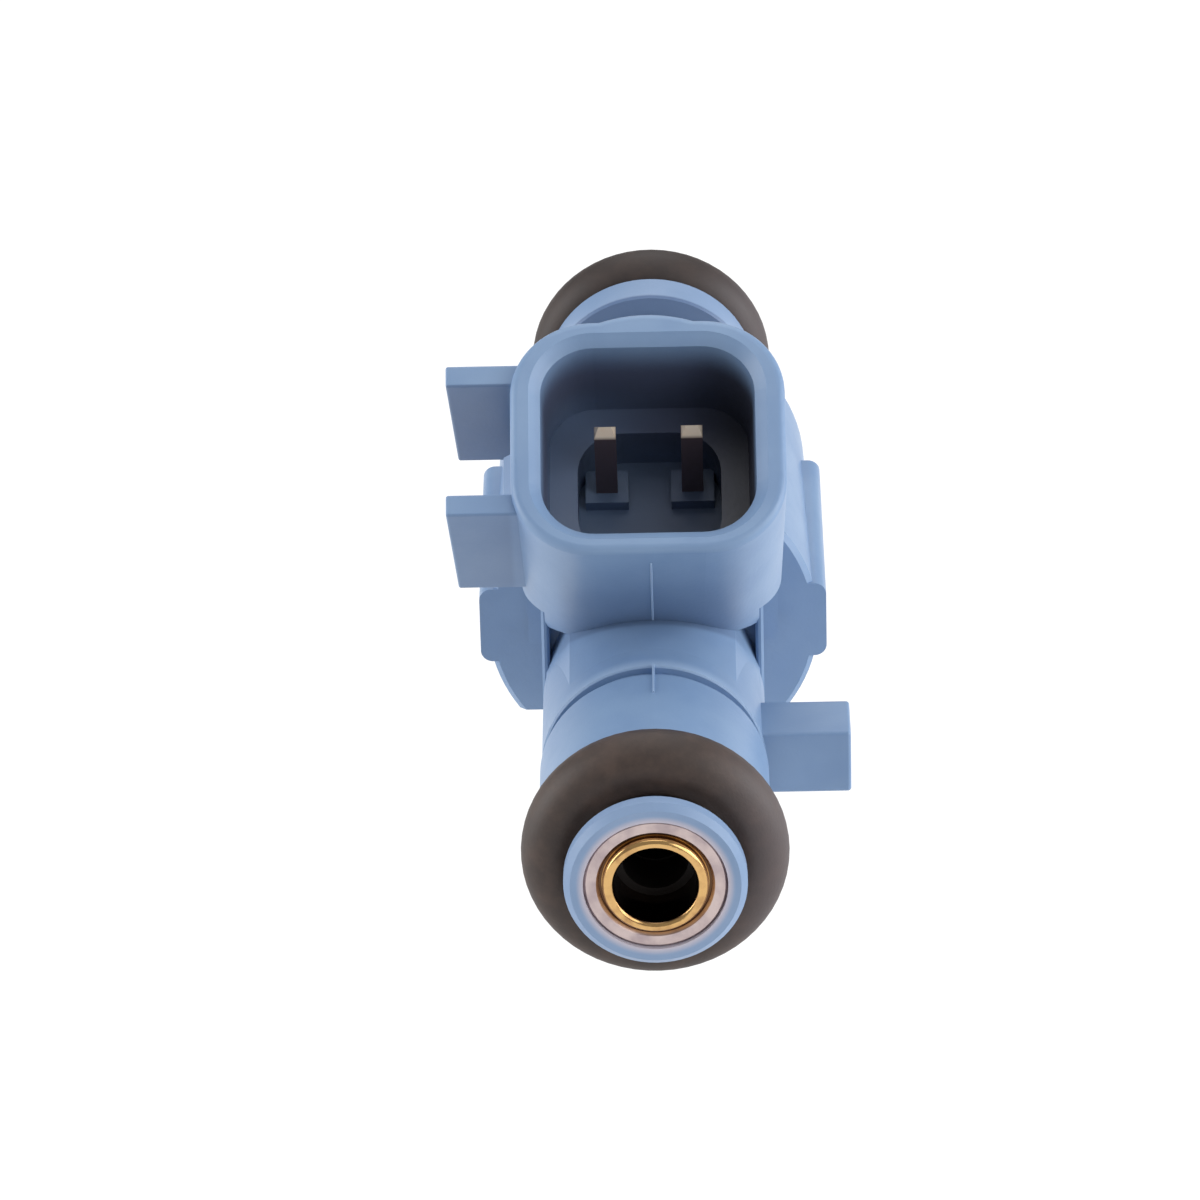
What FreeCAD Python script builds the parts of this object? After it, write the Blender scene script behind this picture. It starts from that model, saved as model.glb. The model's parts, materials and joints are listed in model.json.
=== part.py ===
import FreeCAD, Part

import math
import os
from types import SimpleNamespace

import Sketcher

# Fuel injector, side connector type.  Millimetres.
# The injector's axis is Y: fuel comes in at the -Y end and leaves through the nozzle at the +Y end.
# The connector tower rises towards +Z and leans back over the inlet.
# The origin is the centre of the upper seal ring.

SIZES = {
    # seal rings, and the tube that both of them fit
    "seal_spacing": 60.65,
    "seal_section": 1.78,
    "seal_gap": 0.12,
    "tube_radius": 3.7,
    "tube_bore": 3.05,
    "edge_break": 0.15,
    # ring and tube at the inlet end
    "inlet_face_drop": 3.85,
    "inlet_ring_radius": 4.95,
    "inlet_ring_width": 1.05,
    "inlet_ring_round": 0.35,
    "tube_recess": 0.17,
    "tube_flare": 0.2,
    "tube_flare_length": 0.5,
    "tube_length": 31.68,
    # moulded neck
    "neck_radius": 6.2,
    "collar_step": 0.1,
    "collar_length": 6.4,
    "groove_width": 1.15,
    "groove_depth": 0.45,
    "groove_bevel": 0.1,
    # shoulders that square the neck up towards the tower
    "shoulder_start": 9.7,
    "shoulder_half": 4.6,
    "shoulder_height": 5.2,
    "shoulder_foot": 2.1,
    "shoulder_top": 6.75,
    # moulded barrel around the coil
    "barrel_start": 26.0,
    "barrel_length": 20.6,
    "barrel_radius": 9.45,
    "barrel_draft": 0.4,
    "barrel_chamfer": 0.3,
    "wing_span": 19.8,
    "wing_height": 4.65,
    "wing_lift": 0.13,
    "wing_length": 15.6,
    "wing_corner": 0.7,
    "underside_drop": 5.4,
    "underside_length": 7.4,
    # ear on the neck
    "ear_start": 9.6,
    "ear_length": 3.75,
    "ear_height": 3.75,
    "ear_drop": 0.12,
    "ear_reach": 10.85,
    "ear_round": 0.2,
    # connector tower: its axis leans tower_tilt degrees from the injector's axis
    "tower_tilt": 55.0,
    "rim_along": 15.557,
    "rim_above": 17.353,
    "tower_width": 15.15,
    "tower_height": 14.45,
    "tower_corner": 4.5,
    "tower_depth": 19.5,
    "tower_draft": 0.5,
    "crown_inset": 0.075,
    "crown_rise": 0.45,
    "crown_length": 8.0,
    "tower_floor": 6.1,
    "pedestal_length": 1.6,
    "gusset_thickness": 0.45,
    "gusset_length": 9.1,
    "throat_recess": 1.1,
    "throat_floor": 4.8,
    "rim_round": 0.45,
    # socket in the tower
    "side_wall": 1.625,
    "back_wall": 1.4,
    "socket_corner": 3.0,
    "socket_depth": 7.0,
    "socket_draft": 0.4,
    "mouth_chamfer": 0.6,
    "well_ledge": 1.95,
    "well_corner": 2.5,
    "well_depth": 3.5,
    "boss_wall": 0.6,
    "boss_rise": 0.9,
    # guard rails and latch ramp on the tower's side
    "rail_spacing": 8.05,
    "rail_lift": 0.22,
    "rail_thickness": 1.3,
    "rail_setback": 0.7,
    "rail_length": 8.7,
    "rail_reach": 11.12,
    "rail_taper": 0.4,
    "rail_round": 0.15,
    "latch_width": 3.0,
    "latch_setback": 4.6,
    "latch_length": 5.0,
    "latch_rise": 1.0,
    # contact blades
    "blade_width": 1.2,
    "blade_thickness": 0.8,
    "blade_spacing": 4.8,
    "blade_offset": 1.9,
    "blade_recess": 2.6,
    "blade_point": 0.7,
    "blade_tip": 0.7,
    "blade_run": 5.3,
    # fuel filter in the inlet
    "filter_ring_bore": 2.25,
    "filter_ring_length": 6.0,
    "filter_ring_proud": 0.27,
    "filter_ring_round": 0.3,
    "filter_ring_step": 0.18,
    "cage_length": 13.0,
    "cage_wall": 0.45,
    "cage_cap": 0.8,
    "cage_window": 1.8,
    "cage_window_length": 6.5,
    "cage_overlap": 3.0,
    "mesh_thickness": 0.1,
    # coil and its magnet circuit
    "housing_radius": 7.9,
    "housing_wall": 0.8,
    "housing_top": 11.6,
    "housing_floor": 1.8,
    "housing_proud": 0.2,
    "housing_neck": 5.1,
    "washer_thickness": 1.0,
    "washer_slot_gap": 0.5,
    "bobbin_wall": 0.5,
    "bobbin_flange": 0.8,
    "bobbin_gap": 0.2,
    "winding_gap": 0.3,
    "sleeve_wall": 0.3,
    "sleeve_overlap": 3.5,
    # pole, armature and spring
    "pole_bore": 1.9,
    "pole_socket": 8.0,
    "pole_end": 6.3,
    "lift": 0.1,
    "residual_gap": 0.02,
    "armature_length": 7.0,
    "armature_clearance": 0.05,
    "spring_seat_depth": 1.6,
    "adjuster_bore": 1.1,
    "adjuster_length": 6.0,
    "adjuster_slit": 0.5,
    "spring_length": 11.0,
    "spring_wire": 0.5,
    "spring_radius": 1.5,
    "spring_pitch": 1.6,
    "spring_gap": 0.13,
    # needle, ball and seat
    "needle_radius": 1.2,
    "needle_bore": 0.7,
    "needle_inset": 0.4,
    "needle_port": 0.9,
    "needle_port_drop": 4.0,
    "ball_radius": 1.75,
    "ball_place": 0.75,
    "ball_guide_gap": 0.04,
    "seat_cone": 45.0,
    "seat_gap": 0.01,
    "seat_outlet": 0.6,
    "seat_length": 4.6,
    "seat_lead": 1.4,
    "seat_groove": 0.8,
    "seat_groove_radius": 2.3,
    # valve body
    "body_radius": 4.4,
    "body_top_gap": 0.6,
    "body_guide_length": 8.2,
    "body_bore": 2.4,
    "seat_radius": 2.9,
    "body_tip": 0.3,
    # nozzle end
    "plate_thickness": 0.3,
    "plate_hole": 0.12,
    "plate_hole_circle": 0.33,
    "retainer_length": 1.0,
    "retainer_bore": 1.7,
    "lower_collar_radius": 6.35,
    "lower_collar_width": 2.45,
    "lower_collar_chamfer": 0.12,
    "cap_flange_radius": 5.7,
    "cap_flange_width": 1.0,
    "cap_radius": 4.7,
    "cap_tip_radius": 4.1,
    "cap_lip": 0.4,
    "cap_mouth": 2.0,
    "cap_mouth_flare": 0.6,
}

FULL_TURN = 360
RIGHT_ANGLE = 90
SAME_PLACE = 1e-5
NEAR = 1e-4
FILTER_WINDOWS = 4
FLOW_GROOVES = 5
SPRAY_HOLES = 4
WIRE_SIDES = 8
EDGE_SAMPLES = 5

doc = FreeCAD.newDocument("fuel_injector")
sheet = doc.addObject("Spreadsheet::Sheet", "Sizes")


class Size:
    """A length or angle, held as its number and as the sheet formula that gives it."""

    def __init__(self, value, text):
        self.value = value
        self.text = text

    @staticmethod
    def of(other):
        return other if isinstance(other, Size) else Size(other, str(other))

    def join(self, other, sign, value):
        return Size(value, f"({self.text} {sign} {other.text})")

    def __add__(self, other):
        other = Size.of(other)
        return self.join(other, "+", self.value + other.value)

    def __sub__(self, other):
        other = Size.of(other)
        return self.join(other, "-", self.value - other.value)

    def __mul__(self, other):
        other = Size.of(other)
        return self.join(other, "*", self.value * other.value)

    def __truediv__(self, other):
        other = Size.of(other)
        return self.join(other, "/", self.value / other.value)

    def __rsub__(self, other):
        return Size.of(other) - self

    def __neg__(self):
        return Size(-self.value, f"(-{self.text})")


ZERO = Size.of(0)


def sine(angle):
    return Size(math.sin(math.radians(angle.value)), f"sin({angle.text} * 1 deg)")


def cosine(angle):
    return Size(math.cos(math.radians(angle.value)), f"cos({angle.text} * 1 deg)")


def tangent(angle):
    return Size(math.tan(math.radians(angle.value)), f"tan({angle.text} * 1 deg)")


def root(size):
    return Size(math.sqrt(size.value), f"sqrt({size.text})")


def fill_sheet():
    """Write every driving size to the sheet and give each one back by its name."""
    sizes = {}
    for row, (name, value) in enumerate(SIZES.items(), start=1):
        sheet.set(f"A{row}", name)
        sheet.set(f"B{row}", str(value))
        sheet.setAlias(f"B{row}", name)
        sizes[name] = Size(value, f"Sizes.{name}")
    return SimpleNamespace(**sizes)


S = fill_sheet()
doc.recompute()

# --- places worked out from the sizes -------------------------------------------------------

# seal grooves: each seal lies on the tube radius, between two walls
groove_half = S.seal_section + S.seal_gap
inlet_face = -S.inlet_face_drop
tube_start = inlet_face + S.tube_recess
flare_end = tube_start + S.tube_flare_length
flare_radius = S.tube_radius + S.tube_flare
neck_start = groove_half
lower_groove_start = S.seal_spacing - groove_half
lower_groove_end = S.seal_spacing + groove_half

# barrel, and the steel housing whose closed end stands just out of it
barrel_end = S.barrel_start + S.barrel_length
housing_start = barrel_end - S.housing_top
housing_end = barrel_end + S.housing_proud
coil_end = housing_end - S.housing_floor
coil_start = housing_start + S.washer_thickness
lower_collar_start = lower_groove_start - S.lower_collar_width

# magnet circuit
pole_end = barrel_end - S.pole_end
pole_step = tube_start + S.tube_length
pole_start = pole_step - S.pole_socket
armature_start = pole_end + S.lift + S.residual_gap
armature_end = armature_start + S.armature_length
spring_seat = armature_start + S.spring_seat_depth
spring_start = spring_seat - S.spring_gap - S.spring_length
adjuster_start = spring_start - S.adjuster_length
sleeve_radius = S.tube_radius + S.sleeve_wall
body_start = armature_start + S.body_top_gap

# valve: the ball sits in a cone, and the seat's face rests on a step in the body
ball_centre = S.seal_spacing + S.ball_place
contact_radius = S.ball_radius * cosine(S.seat_cone)
contact_place = ball_centre + S.ball_radius * sine(S.seat_cone) + S.seat_gap
seat_start = ball_centre - S.seat_lead
seat_end = seat_start + S.seat_length
plate_end = seat_end + S.plate_thickness
retainer_end = plate_end + S.retainer_length
body_end = retainer_end + S.body_tip
cap_end = body_end + S.cap_lip
needle_start = spring_seat + S.needle_inset
needle_corner = S.ball_radius * S.ball_radius - S.needle_bore * S.needle_bore
needle_end = ball_centre - root(needle_corner)


def cone_place(radius):
    """Where the seat's cone has this radius."""
    return contact_place + (contact_radius - radius) / tangent(S.seat_cone)



# tower: "depth" runs down the tower's axis from the rim, "rise" runs across it, away from the inlet
lean = RIGHT_ANGLE - S.tower_tilt
socket_width = S.tower_width - S.side_wall * 2
socket_height = S.tower_height - S.back_wall * 2


def tower_place(depth, rise):
    """Place of a point of the tower's middle plane: along the injector's axis, and above it."""
    along = S.rim_along + depth * cosine(S.tower_tilt) + rise * sine(S.tower_tilt)
    above = S.rim_above - depth * sine(S.tower_tilt) + rise * cosine(S.tower_tilt)
    return along, above


# --- drawing ---------------------------------------------------------------------------------


def new_body(name):
    body = doc.addObject("PartDesign::Body", name)
    body.Label = name
    return body


def origin_feature(body, role):
    return next(item for item in body.Origin.OriginFeatures if item.Role == role)


def new_sketch(body, name, plane, offset=(ZERO, ZERO, ZERO), turn=ZERO):
    """Start a sketch on an origin plane, moved by offset and turned about its own X axis."""
    sketch = body.newObject("Sketcher::SketchObject", name)
    sketch.AttachmentSupport = (origin_feature(body, plane), [""])
    sketch.MapMode = "FlatFace"
    place = FreeCAD.Vector(*[size.value for size in offset])
    sketch.AttachmentOffset = FreeCAD.Placement(place, FreeCAD.Rotation(FreeCAD.Vector(1, 0, 0), turn.value))
    for axis, size in zip("xyz", offset):
        if size is not ZERO:
            sketch.setExpression(f"AttachmentOffset.Base.{axis}", size.text)
    if turn is not ZERO:
        sketch.setExpression("AttachmentOffset.Rotation.Angle", turn.text)
    return sketch


def tower_sketch(body, name, depth):
    """Start a sketch across the tower at this depth: X is across it, Y is its rise."""
    along, above = tower_place(depth, ZERO)
    return new_sketch(body, name, "XY_Plane", (ZERO, along, above), lean)


def tower_side_sketch(body, name, rise):
    """Start a sketch along the tower at this rise: X is across it, Y is minus its depth."""
    along, above = tower_place(ZERO, rise)
    return new_sketch(body, name, "XY_Plane", (ZERO, along, above), lean + RIGHT_ANGLE)


def bind(sketch, kind, *ends, size):
    """Add one dimension and bind it to its sheet formula."""
    index = sketch.addConstraint(Sketcher.Constraint(kind, *ends, size.value))
    sketch.setExpression(f"Constraints[{index}]", size.text)


def pin_point(sketch, edge, end, x, y):
    bind(sketch, "DistanceX", -1, 1, edge, end, size=x)
    bind(sketch, "DistanceY", -1, 1, edge, end, size=y)


def draw_polygon(sketch, corners):
    """Draw a closed outline through corners, each a pair of sizes from the sketch's origin."""
    first = sketch.GeometryCount
    count = len(corners)
    points = [FreeCAD.Vector(x.value, y.value, 0) for x, y in corners]
    for index in range(count):
        sketch.addGeometry(Part.LineSegment(points[index], points[(index + 1) % count]), False)
    for index in range(count):
        after = first + (index + 1) % count
        sketch.addConstraint(Sketcher.Constraint("Coincident", first + index, 2, after, 1))
    for index, (x, y) in enumerate(corners):
        pin_point(sketch, first + index, 1, x, y)


def draw_box(sketch, low_x, low_y, high_x, high_y):
    draw_polygon(sketch, [(low_x, low_y), (high_x, low_y), (high_x, high_y), (low_x, high_y)])


def draw_round_box(sketch, width, height, corner):
    """Draw a rectangle with round corners about the sketch's origin."""
    half_x = width / 2
    half_y = height / 2
    in_x = half_x - corner
    in_y = half_y - corner
    runs = [
        ((-in_x, -half_y), (in_x, -half_y), (in_x, -in_y)),
        ((half_x, -in_y), (half_x, in_y), (in_x, in_y)),
        ((in_x, half_y), (-in_x, half_y), (-in_x, in_y)),
        ((-half_x, in_y), (-half_x, -in_y), (-in_x, -in_y)),
    ]
    for index, (start, end, centre) in enumerate(runs):
        start_point = FreeCAD.Vector(start[0].value, start[1].value, 0)
        end_point = FreeCAD.Vector(end[0].value, end[1].value, 0)
        sketch.addGeometry(Part.LineSegment(start_point, end_point), False)
        centre_point = FreeCAD.Vector(centre[0].value, centre[1].value, 0)
        circle = Part.Circle(centre_point, FreeCAD.Vector(0, 0, 1), corner.value)
        begin = math.radians(RIGHT_ANGLE * (index - 1))
        sketch.addGeometry(Part.ArcOfCircle(circle, begin, begin + math.radians(RIGHT_ANGLE)), False)
    for index, (start, end, centre) in enumerate(runs):
        line, arc = 2 * index, 2 * index + 1
        pin_point(sketch, line, 1, *start)
        pin_point(sketch, line, 2, *end)
        sketch.addConstraint(Sketcher.Constraint("Coincident", line, 2, arc, 1))
        sketch.addConstraint(Sketcher.Constraint("Coincident", arc, 2, (line + 2) % 8, 1))
        bind(sketch, "Radius", arc, size=corner)


def draw_circle(sketch, x, y, radius):
    index = sketch.GeometryCount
    centre = FreeCAD.Vector(x.value, y.value, 0)
    sketch.addGeometry(Part.Circle(centre, FreeCAD.Vector(0, 0, 1), radius.value), False)
    pin_point(sketch, index, 3, x, y)
    bind(sketch, "Radius", index, size=radius)


# --- features --------------------------------------------------------------------------------


def revolve(body, name, corners, kind="Revolution"):
    """Turn an outline of (along, radius) corners about the injector's axis."""
    sketch = new_sketch(body, name + "_profile", "YZ_Plane")
    draw_polygon(sketch, corners)
    feature = body.newObject("PartDesign::" + kind, name)
    feature.Profile = sketch
    feature.ReferenceAxis = (sketch, ["H_Axis"])
    feature.Angle = FULL_TURN
    body.Tip = feature
    return feature


def extrude(body, name, sketch, length, kind="Pad", symmetric=False, reverse=False):
    feature = body.newObject("PartDesign::" + kind, name)
    feature.Profile = sketch
    feature.Length = length.value
    feature.setExpression("Length", length.text)
    feature.SideType = "Symmetric" if symmetric else "One side"
    feature.Reversed = reverse
    body.Tip = feature
    return feature


def cut_through(body, name, sketch):
    """Cut a sketch's outline right through the body, both ways."""
    feature = body.newObject("PartDesign::Pocket", name)
    feature.Profile = sketch
    feature.Type = "ThroughAll"
    feature.SideType = "Symmetric"
    body.Tip = feature
    return feature


def loft(body, name, first, second, kind):
    feature = body.newObject("PartDesign::" + kind, name)
    feature.Profile = first
    feature.Sections = [(second, [""])]
    feature.Ruled = True
    body.Tip = feature
    return feature


def repeat_round(body, name, feature, count):
    """Repeat a feature evenly round the injector's axis."""
    pattern = body.newObject("PartDesign::PolarPattern", name)
    pattern.Originals = [feature]
    pattern.Axis = (origin_feature(body, "Y_Axis"), [""])
    pattern.Angle = FULL_TURN
    pattern.Occurrences = count
    body.Tip = pattern
    return pattern


def dress(body, name, kind, base, edges, prop, size):
    """Add a fillet or chamfer to named edges of the feature before it."""
    feature = body.newObject("PartDesign::" + kind, name)
    feature.Base = (base, edges)
    setattr(feature, prop, size.value)
    feature.setExpression(prop, size.text)
    body.Tip = feature
    return feature


def edges_where(feature, test):
    """Names of a feature's edges on which every sampled point passes the test."""
    names = []
    for index, edge in enumerate(feature.Shape.Edges, start=1):
        if not edge.Degenerated and all(test(point) for point in edge.discretize(EDGE_SAMPLES)):
            names.append(f"Edge{index}")
    return names


def edges_reaching(feature, test):
    """Names of a feature's edges that have an end which passes the test."""
    names = []
    for index, edge in enumerate(feature.Shape.Edges, start=1):
        if any(test(vertex.Point) for vertex in edge.Vertexes):
            names.append(f"Edge{index}")
    return names


def turned(name, corners):
    """A body made by one revolution."""
    body = new_body(name)
    revolve(body, name + "_turn", corners)
    return body


def tube(name, start, end, inner, outer):
    return turned(name, [(start, inner), (start, outer), (end, outer), (end, inner)])


# --- inlet end -------------------------------------------------------------------------------


def make_inlet_end_ring():
    """End flange that keeps the upper seal on the tube, held by the tube's flared mouth."""
    back = inlet_face + S.inlet_ring_width
    return turned("inlet_end_ring", [
        (inlet_face, flare_radius),
        (inlet_face, S.inlet_ring_radius - S.inlet_ring_round),
        (inlet_face + S.inlet_ring_round, S.inlet_ring_radius),
        (back, S.inlet_ring_radius),
        (back, S.tube_radius),
        (flare_end, S.tube_radius),
        (flare_end, flare_radius),
    ])


def make_fuel_inlet_tube():
    return turned("fuel_inlet_tube", [
        (tube_start, S.tube_bore + S.edge_break),
        (tube_start, flare_radius - S.edge_break),
        (tube_start + S.edge_break, flare_radius),
        (flare_end, flare_radius),
        (flare_end, S.tube_radius),
        (pole_step, S.tube_radius),
        (pole_step, S.tube_bore),
        (tube_start + S.edge_break, S.tube_bore),
    ])


def make_filter_ring():
    """Brass collar of the filter, pressed into the tube's mouth, with a rolled front lip."""
    body = new_body("filter_ring")
    start = tube_start - S.filter_ring_proud
    end = start + S.filter_ring_length
    lip = S.tube_bore - S.filter_ring_step
    lip_end = start + S.filter_ring_round * 2
    base = revolve(body, "filter_ring_turn", [
        (start, S.filter_ring_bore), (start, lip), (lip_end, lip), (lip_end, S.tube_bore),
        (end, S.tube_bore), (end, S.filter_ring_bore),
    ])
    doc.recompute()
    at_front = edges_where(base, lambda point: abs(point.y - start.value) < SAME_PLACE)
    dress(body, "filter_ring_lip", "Fillet", base, at_front, "Radius", S.filter_ring_round)
    return body


cage_start = tube_start - S.filter_ring_proud + S.filter_ring_length - S.cage_overlap
cage_end = cage_start + S.cage_length
cage_bore = S.filter_ring_bore - S.cage_wall


def make_filter_cage():
    """Basket that carries the filter mesh: a closed tube with long windows."""
    body = new_body("filter_cage")
    revolve(body, "filter_cage_turn", [
        (cage_start, cage_bore), (cage_start, S.filter_ring_bore),
        (cage_end, S.filter_ring_bore), (cage_end, ZERO),
        (cage_end - S.cage_cap, ZERO), (cage_end - S.cage_cap, cage_bore),
    ])
    window_end = cage_end - S.cage_cap * 2
    sketch = new_sketch(body, "filter_cage_window", "XY_Plane")
    half = S.cage_window / 2
    draw_box(sketch, -half, window_end - S.cage_window_length, half, window_end)
    reach = S.filter_ring_bore + S.edge_break
    window = extrude(body, "filter_cage_cut", sketch, reach, "Pocket", reverse=True)
    repeat_round(body, "filter_cage_windows", window, FILTER_WINDOWS)
    return body


def make_filter_mesh():
    end = cage_end - S.cage_cap
    return tube("filter_mesh", cage_start + S.cage_overlap, end, cage_bore - S.mesh_thickness, cage_bore)


# --- coil and magnet circuit -----------------------------------------------------------------


def make_pole_core():
    """Fixed pole: pressed into the inlet tube, it faces the armature across the working gap."""
    return turned("pole_core", [
        (pole_start, S.pole_bore), (pole_start, S.tube_bore - S.edge_break),
        (pole_start + S.edge_break, S.tube_bore), (pole_step, S.tube_bore),
        (pole_step, S.tube_radius), (pole_end, S.tube_radius), (pole_end, S.pole_bore),
    ])


def make_adjusting_sleeve():
    """Slit tube pressed into the pole: how deep it goes sets the spring's load."""
    body = tube("adjusting_sleeve", adjuster_start, spring_start, S.adjuster_bore, S.pole_bore)
    sketch = new_sketch(body, "adjusting_sleeve_slit", "XY_Plane")
    half = S.adjuster_slit / 2
    draw_box(sketch, -half, adjuster_start, half, spring_start)
    extrude(body, "adjusting_sleeve_cut", sketch, S.pole_bore + S.edge_break, "Pocket", reverse=True)
    return body


def make_nonmagnetic_sleeve():
    return tube("nonmagnetic_sleeve", pole_end - S.sleeve_overlap, coil_end, S.tube_radius, sleeve_radius)


def make_coil_bobbin():
    hub = sleeve_radius + S.bobbin_wall
    rim = S.housing_radius - S.housing_wall - S.bobbin_gap
    return turned("coil_bobbin", [
        (coil_start, sleeve_radius), (coil_start, rim),
        (coil_start + S.bobbin_flange, rim), (coil_start + S.bobbin_flange, hub),
        (coil_end - S.bobbin_flange, hub), (coil_end - S.bobbin_flange, rim),
        (coil_end, rim), (coil_end, sleeve_radius),
    ])


def make_coil_winding():
    hub = sleeve_radius + S.bobbin_wall
    rim = S.housing_radius - S.housing_wall - S.bobbin_gap - S.winding_gap
    return tube("coil_winding", coil_start + S.bobbin_flange, coil_end - S.bobbin_flange, hub, rim)


def make_flux_washer():
    """Top pole plate, slotted where the contact blades pass through it."""
    body = tube("flux_washer", housing_start, coil_start, S.tube_radius, S.housing_radius - S.housing_wall)
    low = S.blade_run - S.blade_thickness / 2 - S.washer_slot_gap
    sketch = new_sketch(body, "flux_washer_slots", "XY_Plane", (ZERO, ZERO, low))
    half = S.blade_width / 2 + S.washer_slot_gap
    front = housing_start - S.edge_break
    back = coil_start + S.edge_break
    for side in (-1, 1):
        middle = S.blade_spacing / 2 * side
        draw_box(sketch, middle - half, front, middle + half, back)
    extrude(body, "flux_washer_cut", sketch, S.housing_radius, "Pocket", reverse=True)
    return body


def make_magnet_housing():
    """Steel can round the coil, drawn down to a neck that reaches the lower seal."""
    inner = S.housing_radius - S.housing_wall
    return turned("magnet_housing", [
        (housing_start, inner), (housing_start, S.housing_radius),
        (housing_end - S.edge_break, S.housing_radius), (housing_end, S.housing_radius - S.edge_break),
        (housing_end, S.housing_neck), (lower_collar_start, S.housing_neck),
        (lower_collar_start, S.body_radius), (coil_end, S.body_radius), (coil_end, inner),
    ])


def make_blade(name, side):
    """Contact blade: it stands in the socket, bends at the foot of the tower and runs to the coil.

    Its tip is pointed from all four sides.
    """
    body = new_body(name)
    half = S.blade_thickness / 2
    tip_along, tip_above = tower_place(S.blade_recess, S.blade_offset)
    bend_along = tip_along + (tip_above - S.blade_run) / tangent(S.tower_tilt)
    mitre = half * tangent(S.tower_tilt / 2)
    over_along = half * sine(S.tower_tilt)
    over_above = half * cosine(S.tower_tilt)
    down_along = S.blade_point * cosine(S.tower_tilt)
    down_above = S.blade_point * sine(S.tower_tilt)
    sketch = new_sketch(body, name + "_side", "YZ_Plane")
    draw_polygon(sketch, [
        (tip_along, tip_above),
        (tip_along + down_along + over_along, tip_above - down_above + over_above),
        (bend_along + mitre, S.blade_run + half),
        (coil_start, S.blade_run + half),
        (coil_start, S.blade_run - half),
        (bend_along - mitre, S.blade_run - half),
        (tip_along + down_along - over_along, tip_above - down_above - over_above),
    ])
    extrude(body, name + "_blade", sketch, S.blade_width, symmetric=True)
    taper = tower_side_sketch(body, name + "_tip", S.blade_offset)
    for way in (-1, 1):
        tip_x = S.blade_tip / 2 * way
        edge_x = S.blade_width / 2 * way
        clear_x = (S.blade_width / 2 + S.edge_break) * way
        draw_polygon(taper, [
            (tip_x, S.edge_break - S.blade_recess), (clear_x, S.edge_break - S.blade_recess),
            (clear_x, -S.blade_recess - S.blade_point), (edge_x, -S.blade_recess - S.blade_point),
            (tip_x, -S.blade_recess),
        ])
    extrude(body, name + "_point", taper, S.blade_thickness * 2, "Pocket", symmetric=True)
    offset = S.blade_spacing / 2 * side
    body.Placement.Base.x = offset.value
    body.setExpression("Placement.Base.x", offset.text)
    return body


# --- moving valve ----------------------------------------------------------------------------


def make_return_spring():
    """Spring between the adjusting sleeve and the armature.  Flats stand for its round wire."""
    wire = S.spring_wire / 2
    helix = doc.addObject("Part::Helix", "return_spring_path")
    for prop, size in (("Pitch", S.spring_pitch), ("Height", S.spring_length - S.spring_wire),
                       ("Radius", S.spring_radius)):
        setattr(helix, prop, size.value)
        helix.setExpression(prop, size.text)
    section = doc.addObject("Part::RegularPolygon", "return_spring_wire")
    section.Polygon = WIRE_SIDES
    section.Circumradius = wire.value
    section.setExpression("Circumradius", wire.text)
    across = FreeCAD.Rotation(FreeCAD.Vector(1, 0, 0), RIGHT_ANGLE)
    section.Placement = FreeCAD.Placement(FreeCAD.Vector(S.spring_radius.value, 0, 0), across)
    section.setExpression("Placement.Base.x", S.spring_radius.text)
    doc.recompute()
    spring = doc.addObject("Part::Sweep", "return_spring")
    spring.Label = "return_spring"
    spring.Sections = [section]
    spring.Spine = (helix, [f"Edge{index}" for index in range(1, len(helix.Shape.Edges) + 1)])
    spring.Solid = True
    spring.Frenet = True
    start = spring_start + wire
    along = FreeCAD.Rotation(FreeCAD.Vector(1, 0, 0), -RIGHT_ANGLE)
    spring.Placement = FreeCAD.Placement(FreeCAD.Vector(0, start.value, 0), along)
    spring.setExpression("Placement.Base.y", start.text)
    return spring


def make_armature():
    outer = S.tube_bore - S.armature_clearance * 2
    return turned("armature", [
        (armature_start, S.pole_bore), (armature_start, outer),
        (armature_end - S.edge_break, outer), (armature_end, outer - S.edge_break),
        (armature_end, S.needle_radius), (spring_seat, S.needle_radius), (spring_seat, S.pole_bore),
    ])


def make_valve_needle():
    """Hollow needle pressed into the armature, with cross ports that let the fuel out of it."""
    body = tube("valve_needle", needle_start, needle_end, S.needle_bore, S.needle_radius)
    sketch = new_sketch(body, "valve_needle_port", "XY_Plane")
    draw_circle(sketch, ZERO, armature_end + S.needle_port_drop, S.needle_port / 2)
    cut_through(body, "valve_needle_cut", sketch)
    return body


def make_valve_ball():
    ball = doc.addObject("Part::Sphere", "valve_ball")
    ball.Label = "valve_ball"
    ball.Radius = S.ball_radius.value
    ball.setExpression("Radius", S.ball_radius.text)
    ball.Placement.Base.y = ball_centre.value
    ball.setExpression("Placement.Base.y", ball_centre.text)
    return ball


# --- valve body and nozzle -------------------------------------------------------------------


def make_valve_body():
    """Steel body: it guides the armature, carries the lower seal and holds the seat."""
    guide = S.tube_bore - S.armature_clearance
    guide_end = body_start + S.body_guide_length
    return turned("valve_body", [
        (body_start, guide), (body_start, S.tube_radius), (coil_end, S.tube_radius),
        (coil_end, S.body_radius), (lower_groove_start, S.body_radius),
        (lower_groove_start, S.tube_radius), (body_end, S.tube_radius), (body_end, S.seat_radius),
        (seat_start, S.seat_radius), (seat_start, S.body_bore), (guide_end, S.body_bore), (guide_end, guide),
    ])


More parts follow.
